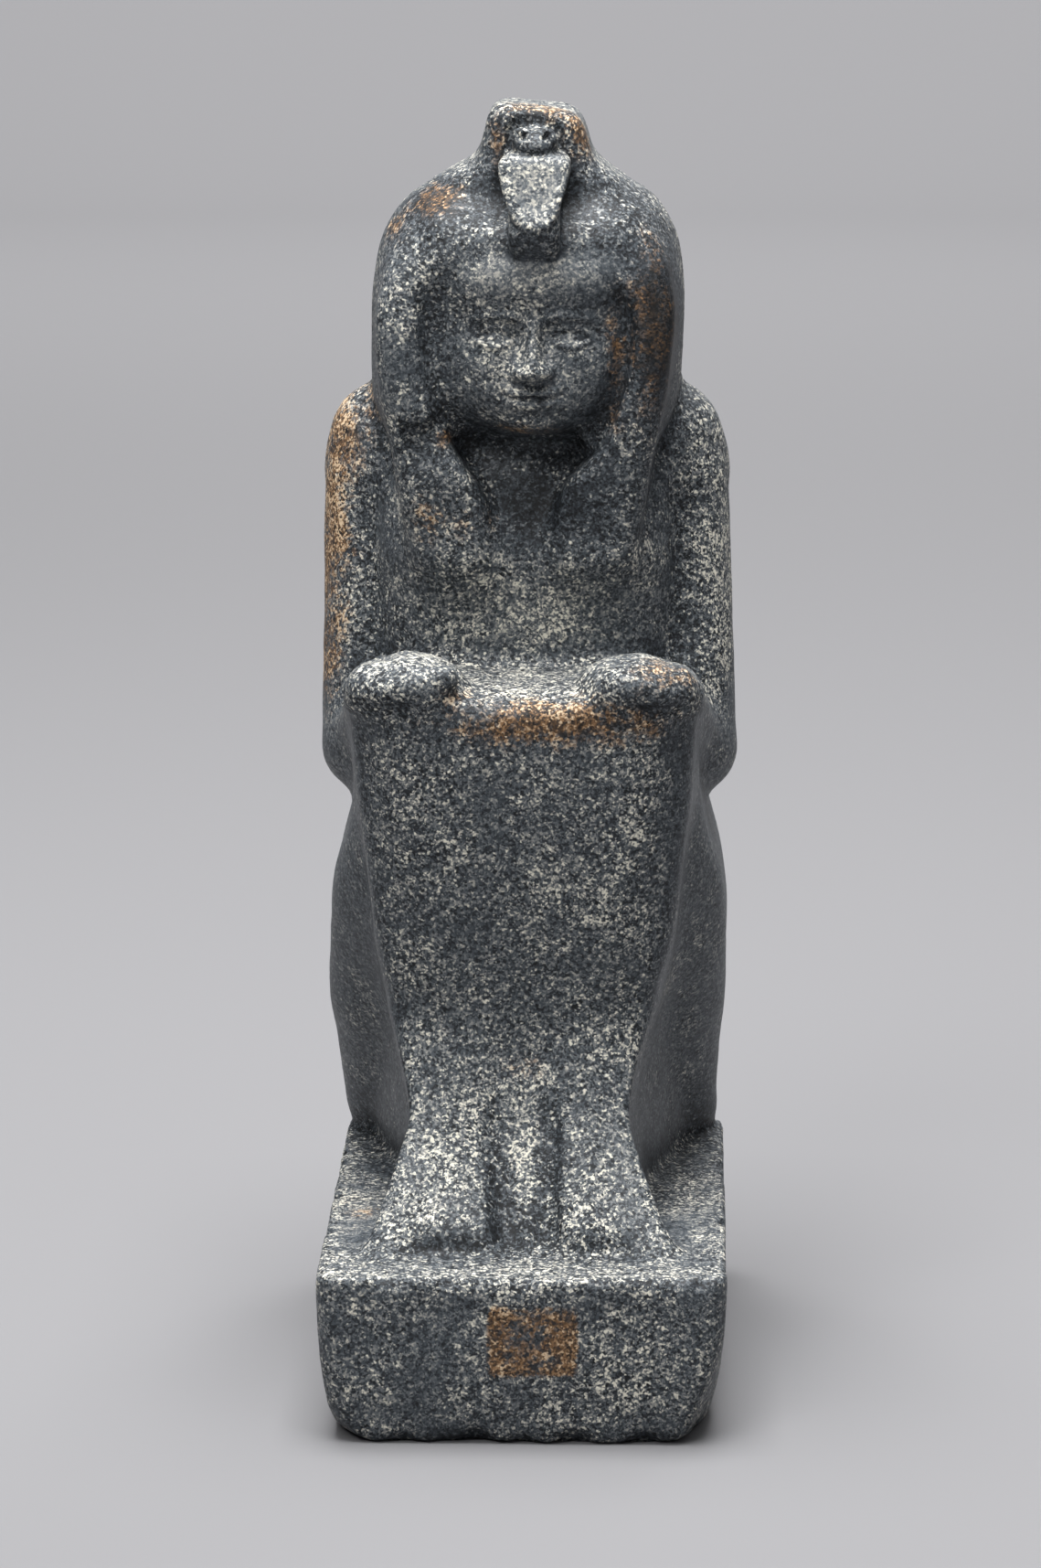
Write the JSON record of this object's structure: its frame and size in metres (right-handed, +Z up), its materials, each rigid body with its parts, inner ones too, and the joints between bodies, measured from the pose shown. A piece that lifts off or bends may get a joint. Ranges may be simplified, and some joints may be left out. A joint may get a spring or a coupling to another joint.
{
  "type": "crouching goddess statuette",
  "caption": "Crouching goddess in a long wig and close robe, hands flat on the knees, carved in one with a low plinth that rests on its flat underside.",
  "frame": {"origin": "middle of the plinth's underside", "axes": "+Z up, the face and the toes look to -Y, +X is the figure's left"},
  "size_m": [0.1213, 0.1805, 0.3545],
  "materials": {
    "granodiorite": "dressed and worn, mottled grey and cream grains, rust stains"
  },
  "bodies": {
    "root": {"goddess_statuette": "granodiorite"}
  },
  "joints": []
}
